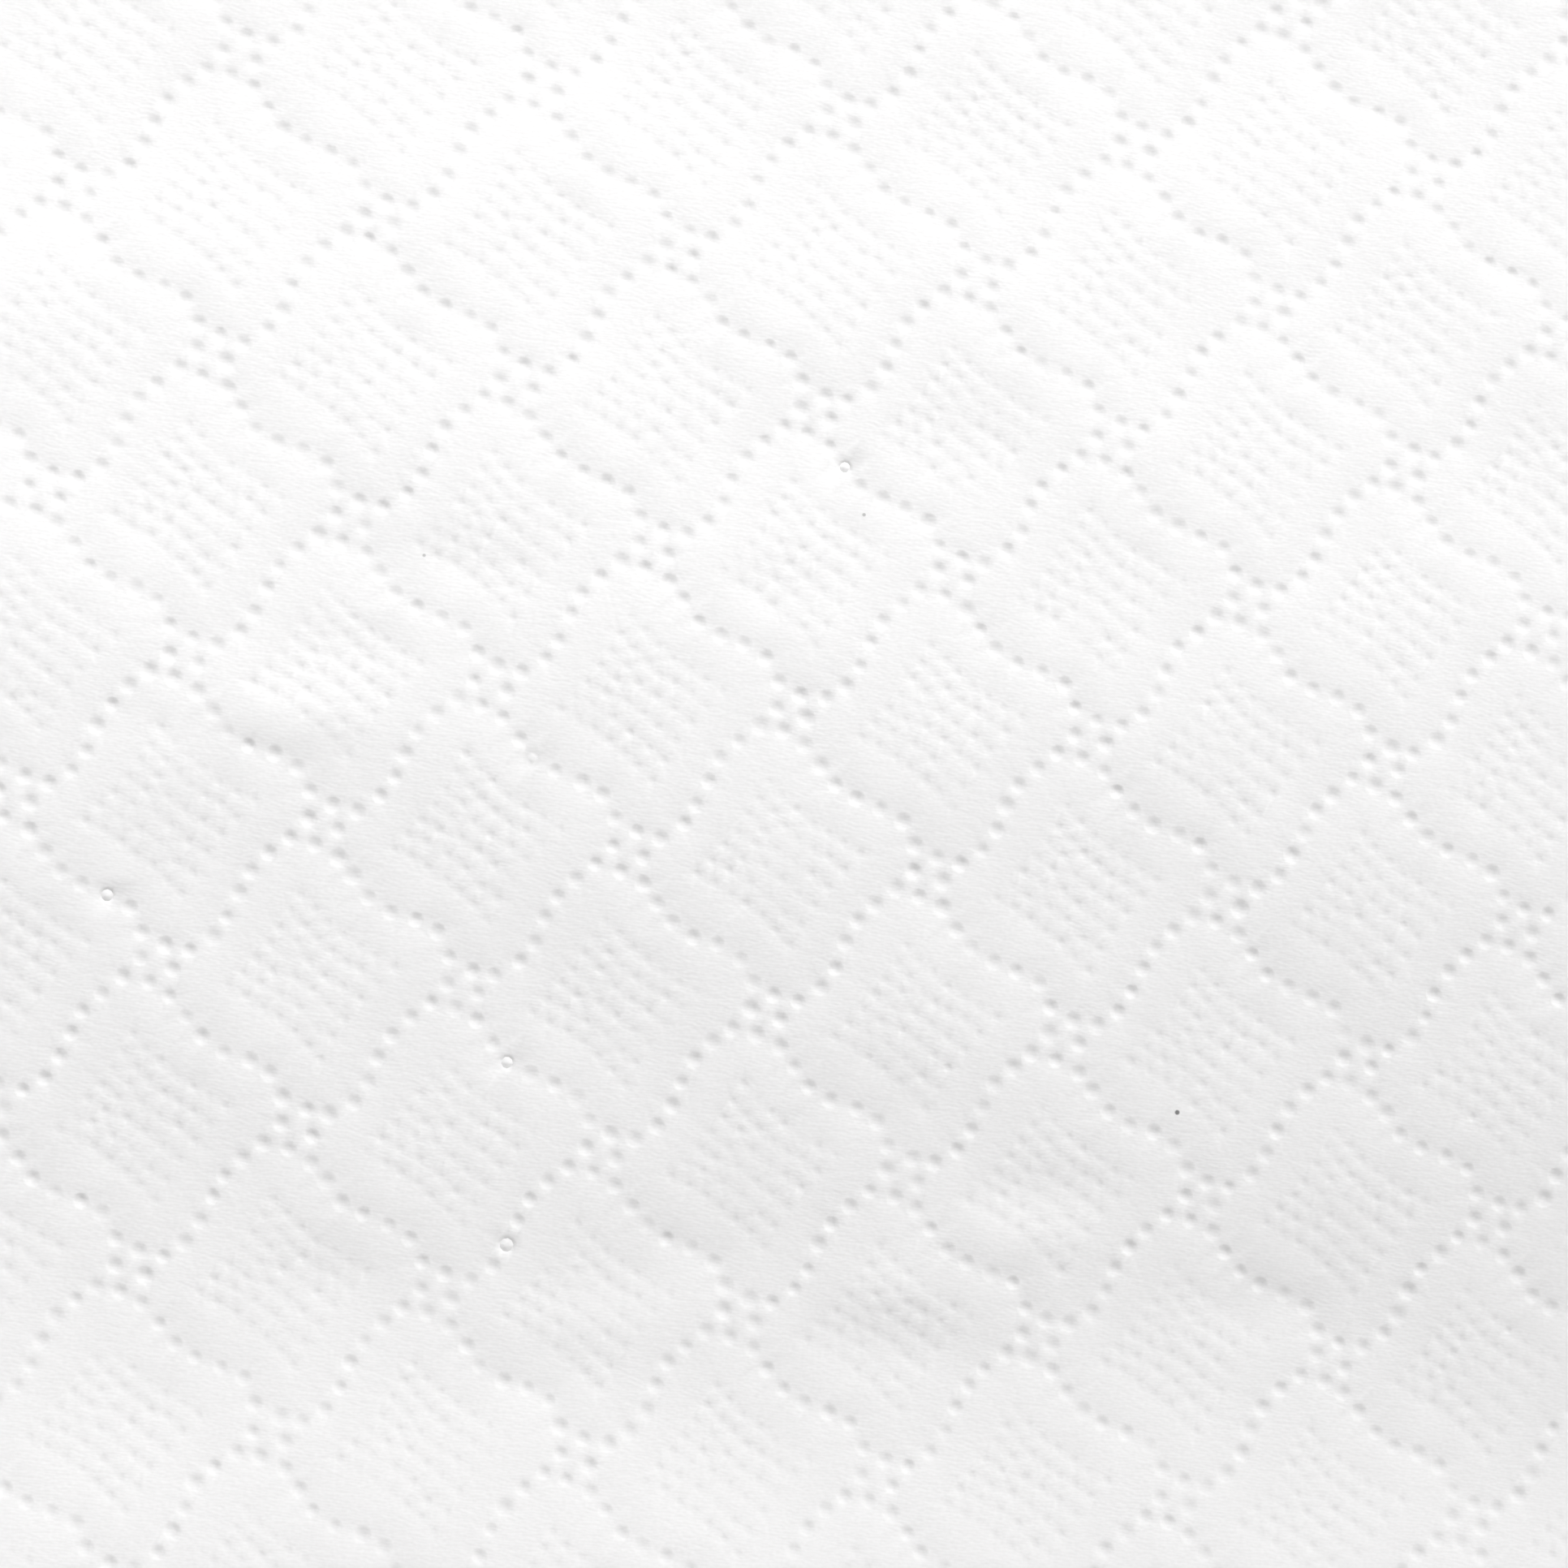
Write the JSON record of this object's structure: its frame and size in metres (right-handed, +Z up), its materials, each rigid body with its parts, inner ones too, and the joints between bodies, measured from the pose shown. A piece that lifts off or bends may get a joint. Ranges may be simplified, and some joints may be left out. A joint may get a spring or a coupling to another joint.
{
  "type": "examination table paper roll",
  "caption": "Roll of white embossed two-ply tissue on a cardboard core, lying on its side with its first stretch unrolled flat.",
  "frame": {"origin": "on the roll's axis, in the middle of its length", "axes": "+X along the roll's axis and the web's width, -Y along the unrolled sheet, +Z up"},
  "size_m": [0.5, 0.3923, 0.1196],
  "materials": {
    "tissue": "matt embossed tissue",
    "core_board": "uncoated grey-brown board"
  },
  "bodies": {
    "root": {"paper": "tissue", "core_tube": "core_board"}
  },
  "joints": []
}
